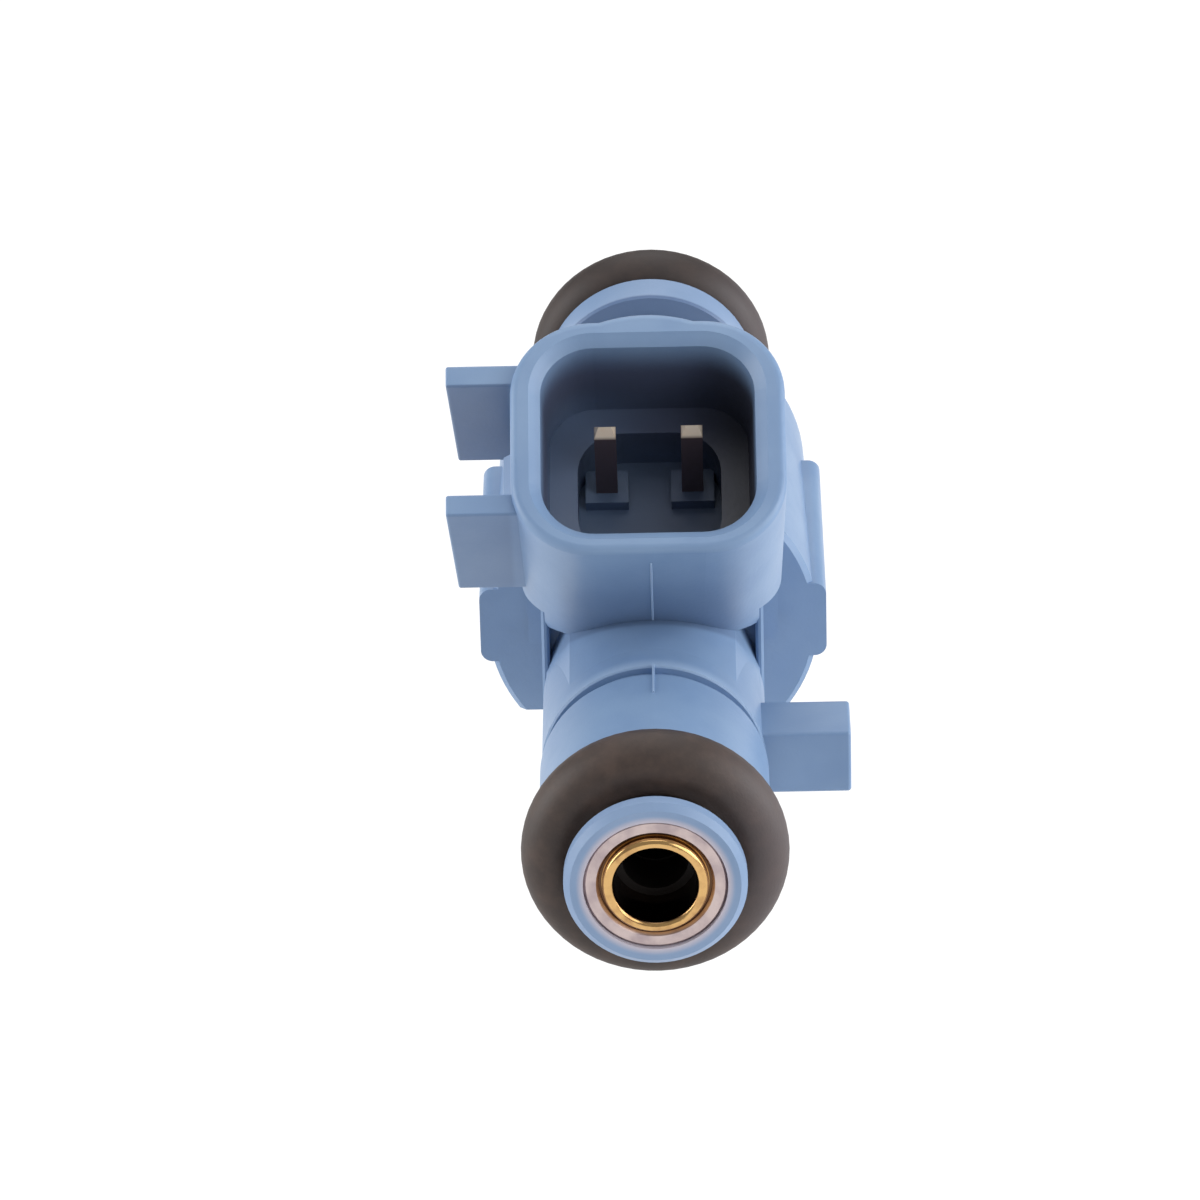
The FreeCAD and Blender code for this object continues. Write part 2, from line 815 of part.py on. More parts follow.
def make_valve_seat():
    """Seat with a bore that guides the ball, and grooves in that bore that let the fuel past it."""
    body = new_body("valve_seat")
    bore = S.ball_radius + S.ball_guide_gap
    revolve(body, "valve_seat_turn", [
        (seat_start, bore), (seat_start, S.seat_radius), (seat_end, S.seat_radius),
        (seat_end, S.seat_outlet), (cone_place(S.seat_outlet), S.seat_outlet), (cone_place(bore), bore),
    ])
    sketch = new_sketch(body, "valve_seat_groove", "XY_Plane")
    half = S.seat_groove / 2
    draw_box(sketch, -half, seat_start - S.edge_break, half, ball_centre)
    groove = extrude(body, "valve_seat_cut", sketch, S.seat_groove_radius, "Pocket", reverse=True)
    repeat_round(body, "valve_seat_grooves", groove, FLOW_GROOVES)
    return body


def make_orifice_plate():
    """Thin plate whose small holes shape the spray."""
    body = turned("orifice_plate", [
        (seat_end, ZERO), (seat_end, S.seat_radius), (plate_end, S.seat_radius), (plate_end, ZERO),
    ])
    sketch = new_sketch(body, "orifice_plate_hole", "XZ_Plane", (ZERO, ZERO, -seat_end))
    draw_circle(sketch, S.plate_hole_circle, ZERO, S.plate_hole)
    hole = cut_through(body, "orifice_plate_cut", sketch)
    repeat_round(body, "orifice_plate_holes", hole, SPRAY_HOLES)
    return body


def make_plate_retainer():
    return tube("plate_retainer", plate_end, retainer_end, S.retainer_bore, S.seat_radius)


def make_lower_collar():
    """Backing ring behind the lower seal."""
    edge = S.lower_collar_chamfer
    return turned("lower_collar", [
        (lower_collar_start, S.body_radius), (lower_collar_start, S.lower_collar_radius - edge),
        (lower_collar_start + edge, S.lower_collar_radius), (lower_groove_start, S.lower_collar_radius),
        (lower_groove_start, S.body_radius),
    ])


def make_nozzle_cap():
    """Moulded cap that keeps the lower seal on and shields the spray plate."""
    flange_end = lower_groove_end + S.cap_flange_width
    return turned("nozzle_cap", [
        (lower_groove_end, S.tube_radius), (lower_groove_end, S.cap_flange_radius),
        (flange_end - S.edge_break, S.cap_flange_radius), (flange_end, S.cap_flange_radius - S.edge_break),
        (flange_end, S.cap_radius), (cap_end, S.cap_tip_radius),
        (cap_end, S.cap_mouth + S.cap_mouth_flare), (body_end, S.cap_mouth), (body_end, S.tube_radius),
    ])


# --- seals -----------------------------------------------------------------------------------


def make_seal(name, along):
    """Seal ring: it rests on the tube radius."""
    ring = doc.addObject("Part::Torus", name)
    ring.Label = name
    centre = S.tube_radius + S.seal_section
    for prop, size in (("Radius1", centre), ("Radius2", S.seal_section)):
        setattr(ring, prop, size.value)
        ring.setExpression(prop, size.text)
    across = FreeCAD.Rotation(FreeCAD.Vector(1, 0, 0), -RIGHT_ANGLE)
    ring.Placement = FreeCAD.Placement(FreeCAD.Vector(0, along.value, 0), across)
    ring.setExpression("Placement.Base.y", along.text)
    return ring


# --- moulded housing -------------------------------------------------------------------------


def add_tower(body):
    """Outer form of the tower: a drafted shell with a crowned back."""
    rim = tower_sketch(body, "tower_rim", ZERO)
    draw_round_box(rim, S.tower_width, S.tower_height, S.tower_corner)
    foot = tower_sketch(body, "tower_foot", S.tower_depth)
    draw_round_box(foot, S.tower_width - S.tower_draft * 2, S.tower_height, S.tower_corner)
    loft(body, "tower", rim, foot, "AdditiveLoft")


def add_crown(body):
    """Shallow arched rib on the tower's back."""
    sketch = tower_sketch(body, "crown_section", ZERO)
    half = S.tower_width / 2 - S.tower_corner - S.crown_inset
    base = S.tower_height / 2 - S.edge_break
    rise = S.crown_rise + S.edge_break
    radius = (half * half + rise * rise) / (rise * 2)
    centre_y = base + rise - radius
    points = [FreeCAD.Vector(half.value * side, base.value, 0) for side in (-1, 1)]
    top = FreeCAD.Vector(0, (base + rise).value, 0)
    sketch.addGeometry(Part.LineSegment(points[0], points[1]), False)
    sketch.addGeometry(Part.Arc(points[1], top, points[0]), False)
    pin_point(sketch, 0, 1, -half, base)
    pin_point(sketch, 0, 2, half, base)
    sketch.addConstraint(Sketcher.Constraint("Coincident", 0, 2, 1, 1))
    sketch.addConstraint(Sketcher.Constraint("Coincident", 0, 1, 1, 2))
    bind(sketch, "DistanceY", -1, 1, 1, 3, size=centre_y)
    extrude(body, "crown", sketch, S.crown_length, reverse=True)


def add_rail(body, name, side):
    """Guard rail beside the latch ramp, along the tower's -X wall."""
    sketch = tower_side_sketch(body, name + "_outline", S.rail_lift + S.rail_spacing / 2 * side)
    root_x = -S.tower_width / 2 + S.mouth_chamfer * 2
    start = -S.rail_setback
    end = -S.rail_setback - S.rail_length
    draw_polygon(sketch, [
        (root_x, start), (-S.rail_reach, start), (-S.rail_reach + S.rail_taper, end), (root_x, end),
    ])
    extrude(body, name, sketch, S.rail_thickness, symmetric=True)


def add_latch(body):
    """Ramp that the plug's latch rides over and snaps behind."""
    sketch = tower_side_sketch(body, "latch_outline", S.rail_lift)
    wall = -S.tower_width / 2 + S.tower_draft
    start = -S.latch_setback
    end = start - S.latch_length
    draw_polygon(sketch, [
        (wall + S.latch_rise, start), (wall, start), (wall - S.latch_rise, start - S.latch_rise),
        (wall - S.latch_rise, end), (wall + S.latch_rise, end),
    ])
    extrude(body, "latch", sketch, S.latch_width, symmetric=True)


def clear_under_tower(body):
    """Trim the tower level above the neck, as far back as its pedestal, and lower between the gussets."""
    back = S.barrel_start - S.pedestal_length
    inner = S.neck_radius - S.gusset_thickness / 2
    flanks = new_sketch(body, "tower_floor_outline", "XY_Plane", (ZERO, ZERO, S.tower_floor))
    draw_box(flanks, -S.tower_width, ZERO, -inner, back)
    draw_box(flanks, inner, ZERO, S.tower_width, back)
    extrude(body, "tower_floor", flanks, S.tower_depth, "Pocket")
    middle = new_sketch(body, "throat_floor_outline", "XY_Plane", (ZERO, ZERO, S.throat_floor))
    draw_box(middle, -S.tower_width, ZERO, S.tower_width, back)
    extrude(body, "throat_floor", middle, S.tower_depth, "Pocket")


def add_turned_form(body):
    """Neck with its parting groove, and barrel."""
    collar = S.neck_radius + S.collar_step
    groove_start = neck_start + S.collar_length
    groove_end = groove_start + S.groove_width
    groove = S.neck_radius - S.groove_depth
    edge = S.barrel_chamfer
    back = S.barrel_radius - S.barrel_draft
    revolve(body, "turned_form", [
        (neck_start, ZERO), (neck_start, collar - S.edge_break), (neck_start + S.edge_break, collar),
        (groove_start, collar), (groove_start, groove), (groove_end, groove),
        (groove_end, S.neck_radius - S.groove_bevel), (groove_end + S.groove_bevel, S.neck_radius),
        (S.barrel_start, S.neck_radius), (S.barrel_start, S.barrel_radius - edge),
        (S.barrel_start + edge, S.barrel_radius), (barrel_end - edge, back),
        (barrel_end, back - edge), (barrel_end, ZERO),
    ])


def shoulder_section(body, name, along, foot, corner, top):
    """Start a section across the neck: upright feet, slanting shoulders and an arch over the top."""
    sketch = new_sketch(body, name, "XZ_Plane", (ZERO, ZERO, -along))
    outer = S.neck_radius - S.gusset_thickness / 2
    half = S.shoulder_half
    rise = top - corner
    radius = (half * half + rise * rise) / (rise * 2)
    corners = [(half, corner), (outer, foot), (outer, ZERO), (-outer, ZERO), (-outer, foot), (-half, corner)]
    points = [FreeCAD.Vector(x.value, y.value, 0) for x, y in corners]
    last = len(corners) - 1
    for index in range(last):
        sketch.addGeometry(Part.LineSegment(points[index], points[index + 1]), False)
    crest = FreeCAD.Vector(0, top.value, 0)
    sketch.addGeometry(Part.Arc(points[0], crest, points[last]), False)
    for index in range(last - 1):
        sketch.addConstraint(Sketcher.Constraint("Coincident", index, 2, index + 1, 1))
    for index in range(last):
        pin_point(sketch, index, 1, *corners[index])
    pin_point(sketch, last - 1, 2, *corners[last])
    sketch.addConstraint(Sketcher.Constraint("Coincident", last, 1, 0, 1))
    sketch.addConstraint(Sketcher.Constraint("Coincident", last, 2, last - 1, 2))
    bind(sketch, "DistanceY", -1, 1, last, 3, size=top - radius)
    return sketch


def add_shoulders(body):
    """Shoulders that grow out of the round neck and meet the tower's foot."""
    inside = S.neck_radius - S.edge_break
    outer = S.neck_radius - S.gusset_thickness / 2
    foot = root(inside * inside - outer * outer)
    corner = root(inside * inside - S.shoulder_half * S.shoulder_half)
    end = S.barrel_start - S.gusset_length + S.throat_recess + S.edge_break
    front = shoulder_section(body, "shoulder_front", S.shoulder_start, foot, corner, inside)
    back = shoulder_section(
        body, "shoulder_back", end, S.shoulder_foot, S.shoulder_height, S.shoulder_top)
    loft(body, "shoulders", front, back, "AdditiveLoft")


def add_wings(body):
    """Flat-sided band along both flanks of the barrel."""
    sketch = new_sketch(body, "wing_section", "XZ_Plane", (ZERO, S.wing_lift, -S.barrel_start))
    draw_round_box(sketch, S.wing_span, S.wing_height, S.wing_corner)
    extrude(body, "wings", sketch, S.wing_length, reverse=True)


def add_gussets(body):
    """Thin walls that carry the tower's sides down to the neck's flanks, with a throat between them."""
    sketch = new_sketch(body, "gusset_outline", "XY_Plane")
    front = S.barrel_start - S.gusset_length
    back = S.barrel_start + S.edge_break
    bevel = S.edge_break
    for side in (-1, 1):
        outer = S.neck_radius * side
        inner = outer - S.gusset_thickness * side
        draw_polygon(sketch, [
            (outer, back), (outer, front + bevel), (outer - bevel * side, front),
            (inner + bevel * side, front), (inner, front + bevel), (inner, back),
        ])
    extrude(body, "gussets", sketch, S.tower_floor + S.edge_break)
    throat = new_sketch(body, "throat_outline", "XY_Plane")
    half = S.neck_radius - S.gusset_thickness / 2
    draw_box(throat, -half, front + S.throat_recess, half, back)
    extrude(body, "throat", throat, S.throat_floor + S.edge_break)


def add_ear(body):
    """Square ear on the neck's +X flank."""
    sketch = new_sketch(body, "ear_outline", "XY_Plane", (ZERO, ZERO, -S.ear_drop))
    inner = (S.neck_radius + S.tube_radius) / 2
    draw_box(sketch, inner, S.ear_start, S.ear_reach, S.ear_start + S.ear_length)
    ear = extrude(body, "ear", sketch, S.ear_height, symmetric=True)
    doc.recompute()
    clear = (S.neck_radius.value + S.ear_reach.value) / 2
    back = S.ear_start.value + S.ear_length.value + NEAR
    edges = edges_reaching(ear, lambda point: point.x > clear and point.y < back)
    dress(body, "ear_rounding", "Fillet", ear, edges, "Radius", S.ear_round)


def cut_underside(body):
    """Flat land along the underside of the neck and the front of the barrel."""
    sketch = new_sketch(body, "underside_outline", "XY_Plane", (ZERO, ZERO, -S.underside_drop))
    back = S.barrel_start + S.underside_length
    draw_box(sketch, -S.wing_span, neck_start + S.collar_length, S.wing_span, back)
    extrude(body, "underside", sketch, S.barrel_radius, "Pocket")


def cut_socket(body):
    """Socket that takes the plug, with a deeper well round the blades and a boss under each blade."""
    mouth = tower_sketch(body, "socket_mouth", ZERO)
    draw_round_box(mouth, socket_width, socket_height, S.socket_corner)
    ledge = tower_sketch(body, "socket_ledge", S.socket_depth)
    narrow = S.socket_draft * 2
    corner = S.socket_corner - S.socket_draft
    draw_round_box(ledge, socket_width - narrow, socket_height - narrow, corner)
    loft(body, "socket", mouth, ledge, "SubtractiveLoft")
    well = tower_sketch(body, "well_outline", S.socket_depth)
    step = S.well_ledge * 2
    draw_round_box(well, socket_width - step, socket_height - step, S.well_corner)
    extrude(body, "well", well, S.well_depth, "Pocket")
    floor = S.socket_depth + S.well_depth
    sketch = tower_sketch(body, "boss_outline", floor)
    half_x = S.blade_width / 2 + S.boss_wall
    half_y = S.blade_thickness / 2 + S.boss_wall
    low = S.blade_offset - half_y
    high = S.blade_offset + half_y
    for side in (-1, 1):
        middle = S.blade_spacing / 2 * side
        draw_box(sketch, middle - half_x, low, middle + half_x, high)
    extrude(body, "bosses", sketch, S.boss_rise)


def cut_bore(body):
    """Through bore for the tube, opened out for the magnet housing."""
    front = neck_start - S.edge_break
    back = barrel_end + S.edge_break
    revolve(body, "bore", [
        (front, ZERO), (front, S.tube_radius), (housing_start, S.tube_radius),
        (housing_start, S.housing_radius), (back, S.housing_radius), (back, ZERO),
    ], "Groove")


def tower_frame():
    """The rim's centre, and the directions up the tower and across it, as numbers."""
    tilt = math.radians(S.tower_tilt.value)
    centre = FreeCAD.Vector(0, S.rim_along.value, S.rim_above.value)
    up = FreeCAD.Vector(0, -math.cos(tilt), math.sin(tilt))
    across = FreeCAD.Vector(0, math.sin(tilt), math.cos(tilt))
    return centre, up, across


def round_rails(body):
    """Round the rails' free edges."""
    doc.recompute()
    wall = S.tower_width.value / 2
    clear = (wall + S.rail_reach.value) / 2
    base = body.Tip
    edges = edges_reaching(base, lambda point: point.x < -clear)
    dress(body, "rail_rounding", "Fillet", base, edges, "Radius", S.rail_round)


def dress_rim(body):
    """Round the rim's outer edge and bevel the socket's mouth."""
    doc.recompute()
    centre, up, across = tower_frame()

    def on_rim(point):
        return abs((point - centre).dot(up)) < SAME_PLACE

    def within(point, margin):
        half_x = socket_width.value / 2 + margin
        half_y = socket_height.value / 2 + margin
        return abs(point.x) <= half_x and abs((point - centre).dot(across)) <= half_y

    base = body.Tip
    mouth = edges_where(base, lambda point: on_rim(point) and within(point, NEAR))
    bevel = dress(body, "mouth_bevel", "Chamfer", base, mouth, "Size", S.mouth_chamfer)
    doc.recompute()
    margin = S.mouth_chamfer.value + NEAR
    outer = edges_where(bevel, lambda point: on_rim(point) and not within(point, margin))
    dress(body, "rim_rounding", "Fillet", bevel, outer, "Radius", S.rim_round)


def make_overmold_housing(blades):
    """Moulded housing: neck, barrel and tower in one piece, moulded round the two blades."""
    body = new_body("overmold_form")
    add_tower(body)
    add_crown(body)
    add_rail(body, "upper_rail", 1)
    add_rail(body, "lower_rail", -1)
    round_rails(body)
    add_latch(body)
    clear_under_tower(body)
    add_turned_form(body)
    add_shoulders(body)
    add_wings(body)
    add_gussets(body)
    add_ear(body)
    cut_underside(body)
    cut_socket(body)
    cut_bore(body)
    dress_rim(body)
    tool = doc.addObject("Part::MultiFuse", "blade_slots")
    tool.Shapes = blades
    housing = doc.addObject("Part::Cut", "overmold_housing")
    housing.Label = "overmold_housing"
    housing.Base = body
    housing.Tool = tool
    return housing


def build():
    blades = [make_blade("left_terminal", -1), make_blade("right_terminal", 1)]
    return [
        make_overmold_housing(blades),
        make_inlet_end_ring(),
        make_seal("upper_o_ring", ZERO),
        make_fuel_inlet_tube(),
        make_filter_ring(),
        make_filter_cage(),
        make_filter_mesh(),
        make_pole_core(),
        make_adjusting_sleeve(),
        make_return_spring(),
        make_nonmagnetic_sleeve(),
        make_coil_bobbin(),
        make_coil_winding(),
        make_flux_washer(),
        make_magnet_housing(),
        *blades,
        make_armature(),
        make_valve_needle(),
        make_valve_ball(),
        make_valve_body(),
        make_valve_seat(),
        make_orifice_plate(),
        make_plate_retainer(),
        make_lower_collar(),
        make_seal("lower_o_ring", S.seal_spacing),
        make_nozzle_cap(),
    ]


def check(parts):
    """Stop with the names of what failed to build."""
    failed = [item.Name for item in doc.Objects if {"Invalid", "Error"} & set(item.State)]
    bad = [item.Label for item in parts if item.Shape.isNull() or not item.Shape.isValid()]
    loose = [item.Label for item in parts if len(item.Shape.Solids) != 1]
    if failed or bad or loose:
        raise RuntimeError(f"failed: {failed}, bad shapes: {bad}, not one solid: {loose}")


def export(parts):
    os.makedirs("parts", exist_ok=True)
    for item in parts:
        item.Shape.exportStep(f"parts/{item.Label}.step")
        print(f"{item.Label:20} {item.Shape.Volume:9.2f} mm3")


built = build()
doc.recompute()
check(built)
export(built)
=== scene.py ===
import json
import math

import bpy
from mathutils import Matrix, Vector


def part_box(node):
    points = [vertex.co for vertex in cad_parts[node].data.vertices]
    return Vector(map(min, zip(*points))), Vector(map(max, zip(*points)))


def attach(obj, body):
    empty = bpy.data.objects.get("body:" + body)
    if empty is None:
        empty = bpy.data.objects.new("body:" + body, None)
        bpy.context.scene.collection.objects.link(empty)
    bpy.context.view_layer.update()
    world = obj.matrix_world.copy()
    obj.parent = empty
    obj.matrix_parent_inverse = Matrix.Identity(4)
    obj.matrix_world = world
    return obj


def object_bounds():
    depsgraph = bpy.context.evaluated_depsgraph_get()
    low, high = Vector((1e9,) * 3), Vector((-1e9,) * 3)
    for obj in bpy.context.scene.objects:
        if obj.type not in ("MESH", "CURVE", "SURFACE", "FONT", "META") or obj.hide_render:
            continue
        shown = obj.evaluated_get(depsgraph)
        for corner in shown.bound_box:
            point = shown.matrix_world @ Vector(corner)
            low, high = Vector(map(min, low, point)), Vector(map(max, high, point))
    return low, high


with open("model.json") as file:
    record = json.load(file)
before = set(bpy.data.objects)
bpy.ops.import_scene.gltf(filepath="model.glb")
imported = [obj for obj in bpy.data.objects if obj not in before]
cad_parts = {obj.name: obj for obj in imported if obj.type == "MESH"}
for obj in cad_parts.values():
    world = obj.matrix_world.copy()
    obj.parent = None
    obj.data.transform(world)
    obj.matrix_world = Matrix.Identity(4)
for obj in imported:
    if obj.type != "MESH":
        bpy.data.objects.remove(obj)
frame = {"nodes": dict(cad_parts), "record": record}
cad_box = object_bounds()
plug_socket = next(
    mount for mount in frame["record"]["mounts"] if mount["name"] == "plug_socket")

MM = 0.001
FULL_TURN = 2 * math.pi


# --- shader arithmetic -----------------------------------------------------------------------

# A Mix node has sockets for numbers, vectors and colours; these are the ones used here.
MIX_AMOUNT, MIX_NUMBERS, MIX_COLOURS = 0, (2, 3), (6, 7)
MIXED_NUMBER, MIXED_COLOUR = 0, 2


class Signal:
    """A number inside a finish, used in ordinary arithmetic."""

    def __init__(self, finish, socket):
        self.finish = finish
        self.socket = socket

    def math(self, operation, *values):
        """Feed values to a Math node, and give back its result."""
        return self.finish.node("ShaderNodeMath", {"operation": operation}, values)

    def __add__(self, other):
        return self.math("ADD", self, other)

    def __sub__(self, other):
        return self.math("SUBTRACT", self, other)

    def __rsub__(self, other):
        return self.math("SUBTRACT", other, self)

    def __mul__(self, other):
        return self.math("MULTIPLY", self, other)

    def __pow__(self, other):
        return self.math("POWER", self, other)

    __radd__ = __add__
    __rmul__ = __mul__

    def absolute(self):
        return self.math("ABSOLUTE", self)

    def sine(self):
        return self.math("SINE", self)

    def or_more(self, least):
        """This, or least where that is more."""
        return self.math("MAXIMUM", self, least)

    def over(self, start, end):
        """0 at start, 1 at end, and a smooth change between; either may be the larger."""
        settings = {"interpolation_type": "SMOOTHSTEP"}
        values = {"Value": self, "From Min": start, "From Max": end}
        return self.finish.node("ShaderNodeMapRange", settings, values)

    def past(self, start, end):
        """As over, for a distance with its start and end in millimetres."""
        return self.over(start * MM, end * MM)

    def between(self, start, full, last_full, end):
        """1 from full to last_full, and 0 before start and after end, in millimetres."""
        return self.past(start, full) * self.past(end, last_full)


class Finish:
    """A material under construction, around one Principled shader."""

    def __init__(self, name):
        self.material = bpy.data.materials.new(name)
        self.material.use_nodes = True
        self.tree = self.material.node_tree
        self.shader = self.tree.nodes["Principled BSDF"]
        self.place = self.node("ShaderNodeTexCoord", output="Object")

    def node(self, kind, settings=None, inputs=(), output=0):
        """Add a node, set it up, feed its sockets, and give back one of its outputs."""
        made = self.tree.nodes.new(kind)
        for name, value in (settings or {}).items():
            setattr(made, name, value)
        pairs = inputs.items() if isinstance(inputs, dict) else enumerate(inputs)
        for name, value in pairs:
            self.feed(made.inputs[name], value)
        return Signal(self, made.outputs[output])

    def feed(self, socket, value):
        """Link a signal to a socket, or set the socket to a plain value."""
        if isinstance(value, Signal):
            self.tree.links.new(value.socket, socket)
        else:
            socket.default_value = value

    def set(self, **values):
        """Feed the shader's own sockets: Base_Color stands for Base Color."""
        for name, value in values.items():
            self.feed(self.shader.inputs[name.replace("_", " ")], value)

    def noise(self, size, detail=2.0, roughness=0.5):
        """Cloudy pattern whose blotches are about size millimetres across."""
        values = {
            "Vector": self.place, "Scale": 1 / (size * MM),
            "Detail": detail, "Roughness": roughness,
        }
        return self.node("ShaderNodeTexNoise", {}, values)

    def mix(self, amount, first, second):
        """Colour that goes from first to second as amount goes from 0 to 1."""
        settings = {"data_type": "RGBA", "clamp_factor": True}
        values = dict(zip((MIX_AMOUNT, *MIX_COLOURS), (amount, first, second)))
        return self.node("ShaderNodeMix", settings, values, MIXED_COLOUR)

    def axes(self):
        """Across the injector, along it from the inlet, and up, as three signals."""
        across = self.node("ShaderNodeSeparateXYZ", {}, [self.place])
        return [Signal(self, output) for output in across.socket.node.outputs]

    def bump(self, height, depth):
        """Raise the surface by height, a signal from 0 to 1, times depth in millimetres."""
        values = {"Height": height, "Distance": depth * MM, "Strength": 1.0}
        self.set(Normal=self.node("ShaderNodeBump", {}, values))


def distance(one, other):
    """Length whose two square parts are the signals one and other."""
    return (one * one + other * other) ** 0.5


def waves(place, spacing):
    """Even ripples from 0 to 1 along the signal place, spacing millimetres apart."""
    return (place * (FULL_TURN / (spacing * MM))).sine() * 0.5 + 0.5


def colour(red, green, blue):
    """A colour given as 0 to 255 screen values, for a shader socket."""
    def linear(level):
        level = level / 255
        return level / 12.92 if level <= 0.04045 else ((level + 0.055) / 1.055) ** 2.4

    return (linear(red), linear(green), linear(blue), 1.0)


# --- painted shade and painted light on the pieces --------------------------------------------

# Places are in millimetres. Two numbers say where a mask is 0 and where it is 1; four say where
# a band starts, where it is full, where it is last full and where it ends. On the tower, depth
# is down from the rim and rise is along the rim's short side, away from the inlet. Shares of
# painted shade and painted light, darkness and other shares go from 0 to 1.

# Painted shade on the tower's front wall, heaviest towards its foot, and on the rails' front
# faces.
FOOT_DEPTHS = (-1, 9, 11, 13)
FOOT_HALF_WIDTHS = (6.6, 3.5)
FRONT_WALL_RISES = (-7.8, -7.4, -7, -6.4)
RAIL_ACROSS = (-7.4, -7.8)
RAIL_DEPTHS = (9.8, 9.5)
UPPER_RAIL_RISES = (3.4, 3.5, 3.65, 3.75)
LOWER_RAIL_RISES = (-4.7, -4.6, -4.4, -4.3)
FRONT_WALL_SHADE = 0.6
UPPER_RAIL_SHADE = 0.7
LOWER_RAIL_SHADE = 0.3

# Painted shade inside the socket, blacker towards its right, less of it low on the left and on
# the floor.
SOCKET_CORE_ACROSS = 3.2
SOCKET_CORE_RISE = 3.1
SOCKET_CORNER_RADII = (3.1, 2.9)
SOCKET_DEPTHS = (-0.1, 3.4, 11.2, 11.6)
SOCKET_BLACK_ACROSS = (1.5, 5.5)
SOCKET_LIT_ACROSS = (2.5, -6)
SOCKET_LIT_DEPTHS = (4, 7)
SOCKET_FLOOR_DEPTHS = (7.5, 10)
SOCKET_DARKNESS = 0.94
SOCKET_LIT_SHARE = 0.4
SOCKET_FLOOR_SHARE = 0.25

# A painted highlight along the neck's edge behind its groove.
NECK_EDGE_ALONG = (9.4, 9.6, 9.6, 10.5)
NECK_EDGE_RADII = (5.8, 6, 6.7, 6.9)
NECK_EDGE_UP = (3, 6)
NECK_EDGE_HIGHLIGHT = 0.3

# Painted light, pale pink, over the shadow where the ring meets the tube's mouth.
RING_MOUTH_RADII = (4.35, 3.9)
RING_MOUTH_ALONG = (1, 0)
RING_MOUTH_LIGHT = 0.7
# Painted shade on the lower collar's front face.
COLLAR_FRONT_BAND = (-1, -0.5, 0.1, 0.35)
COLLAR_FRONT_SHADE = 0.8

# Painted shade on the contact blades below their tips.
BLADE_SHADE_DEPTHS = (3.1, 3.4)

# Painted shade in the filter ring's bore and in the gap round its lip.
FILTER_BORE_RADII = (2.36, 2.28)
FILTER_GAP_RADII = (2.86, 2.92)
FILTER_GAP_ALONG = (-3.78, -3.7)
FILTER_SHADE = 0.95

# Colours of the painted shade and painted light.
FACE_SHADE_BLUE = colour(84, 104, 136)
SOCKET_SHADE_BLUE = colour(72, 78, 101)
SOCKET_SHADE_BLACK = colour(36, 32, 41)
NECK_HIGHLIGHT_BLUE = colour(190, 212, 235)
MOUTH_LIGHT_PINK = colour(206, 194, 200)
COLLAR_SHADE_BLUE = colour(84, 108, 146)


def tower_places(finish):
    """Across the tower, depth below its rim, and rise along the rim's short side."""
    across, along, up = finish.axes()
    _, rim_along, rim_up = plug_socket["pos_m"]
    _, axis_along, axis_up = plug_socket["axis"]
    out_along = along - rim_along
    out_up = up - rim_up
    depth = -1 * (out_along * axis_along + out_up * axis_up)
    rise = out_along * axis_up - out_up * axis_along
    return across, depth, rise


def housing_paint(finish, tone):
    """The housing's colour, with painted shade on the tower's front wall, the rails' front faces
    and down in the socket, and a painted highlight on the neck's edge.
    """
    # Painted shade on the tower's front wall and the rails' front faces.
    face_shaded = finish.mix(face_shade_share(finish), tone, FACE_SHADE_BLUE)
    across, _, _ = finish.axes()
    # Painted shade down in the socket, blacker towards its right.
    socket_shade_colour = finish.mix(across.past(*SOCKET_BLACK_ACROSS), SOCKET_SHADE_BLUE, SOCKET_SHADE_BLACK)
    socket_shaded = finish.mix(socket_shade(finish), face_shaded, socket_shade_colour)
    # Painted highlight on the neck's edge.
    return finish.mix(neck_highlight(finish), socket_shaded, NECK_HIGHLIGHT_BLUE)


def face_shade_share(finish):
    """Painted shade on the tower's front wall, more towards its foot, and on the front faces of
    the two rails.
    """
    across, depth, rise = tower_places(finish)
    foot = depth.between(*FOOT_DEPTHS) * across.absolute().past(*FOOT_HALF_WIDTHS)
    wall = foot * rise.between(*FRONT_WALL_RISES)
    rails = across.past(*RAIL_ACROSS) * depth.past(*RAIL_DEPTHS)
    upper = rails * rise.between(*UPPER_RAIL_RISES)
    lower = rails * rise.between(*LOWER_RAIL_RISES)
    return wall * FRONT_WALL_SHADE + upper * UPPER_RAIL_SHADE + lower * LOWER_RAIL_SHADE


def socket_shade(finish):
    """Painted shade inside the socket's rounded walls, less of it low on its left and on its
    floor.
    """
    across, depth, rise = tower_places(finish)
    side = (across.absolute() - SOCKET_CORE_ACROSS * MM).or_more(0)
    end = (rise.absolute() - SOCKET_CORE_RISE * MM).or_more(0)
    inside = distance(side, end).past(*SOCKET_CORNER_RADII)
    left = across.past(*SOCKET_LIT_ACROSS) * depth.past(*SOCKET_LIT_DEPTHS)
    lit = left * SOCKET_LIT_SHARE + depth.past(*SOCKET_FLOOR_DEPTHS) * SOCKET_FLOOR_SHARE
    return inside * depth.between(*SOCKET_DEPTHS) * (SOCKET_DARKNESS - lit)


def neck_highlight(finish):
    """A painted highlight in a band on top of the neck, just behind its groove."""
    across, along, up = finish.axes()
    band = along.between(*NECK_EDGE_ALONG) * distance(across, up).between(*NECK_EDGE_RADII)
    return band * up.past(*NECK_EDGE_UP) * NECK_EDGE_HIGHLIGHT


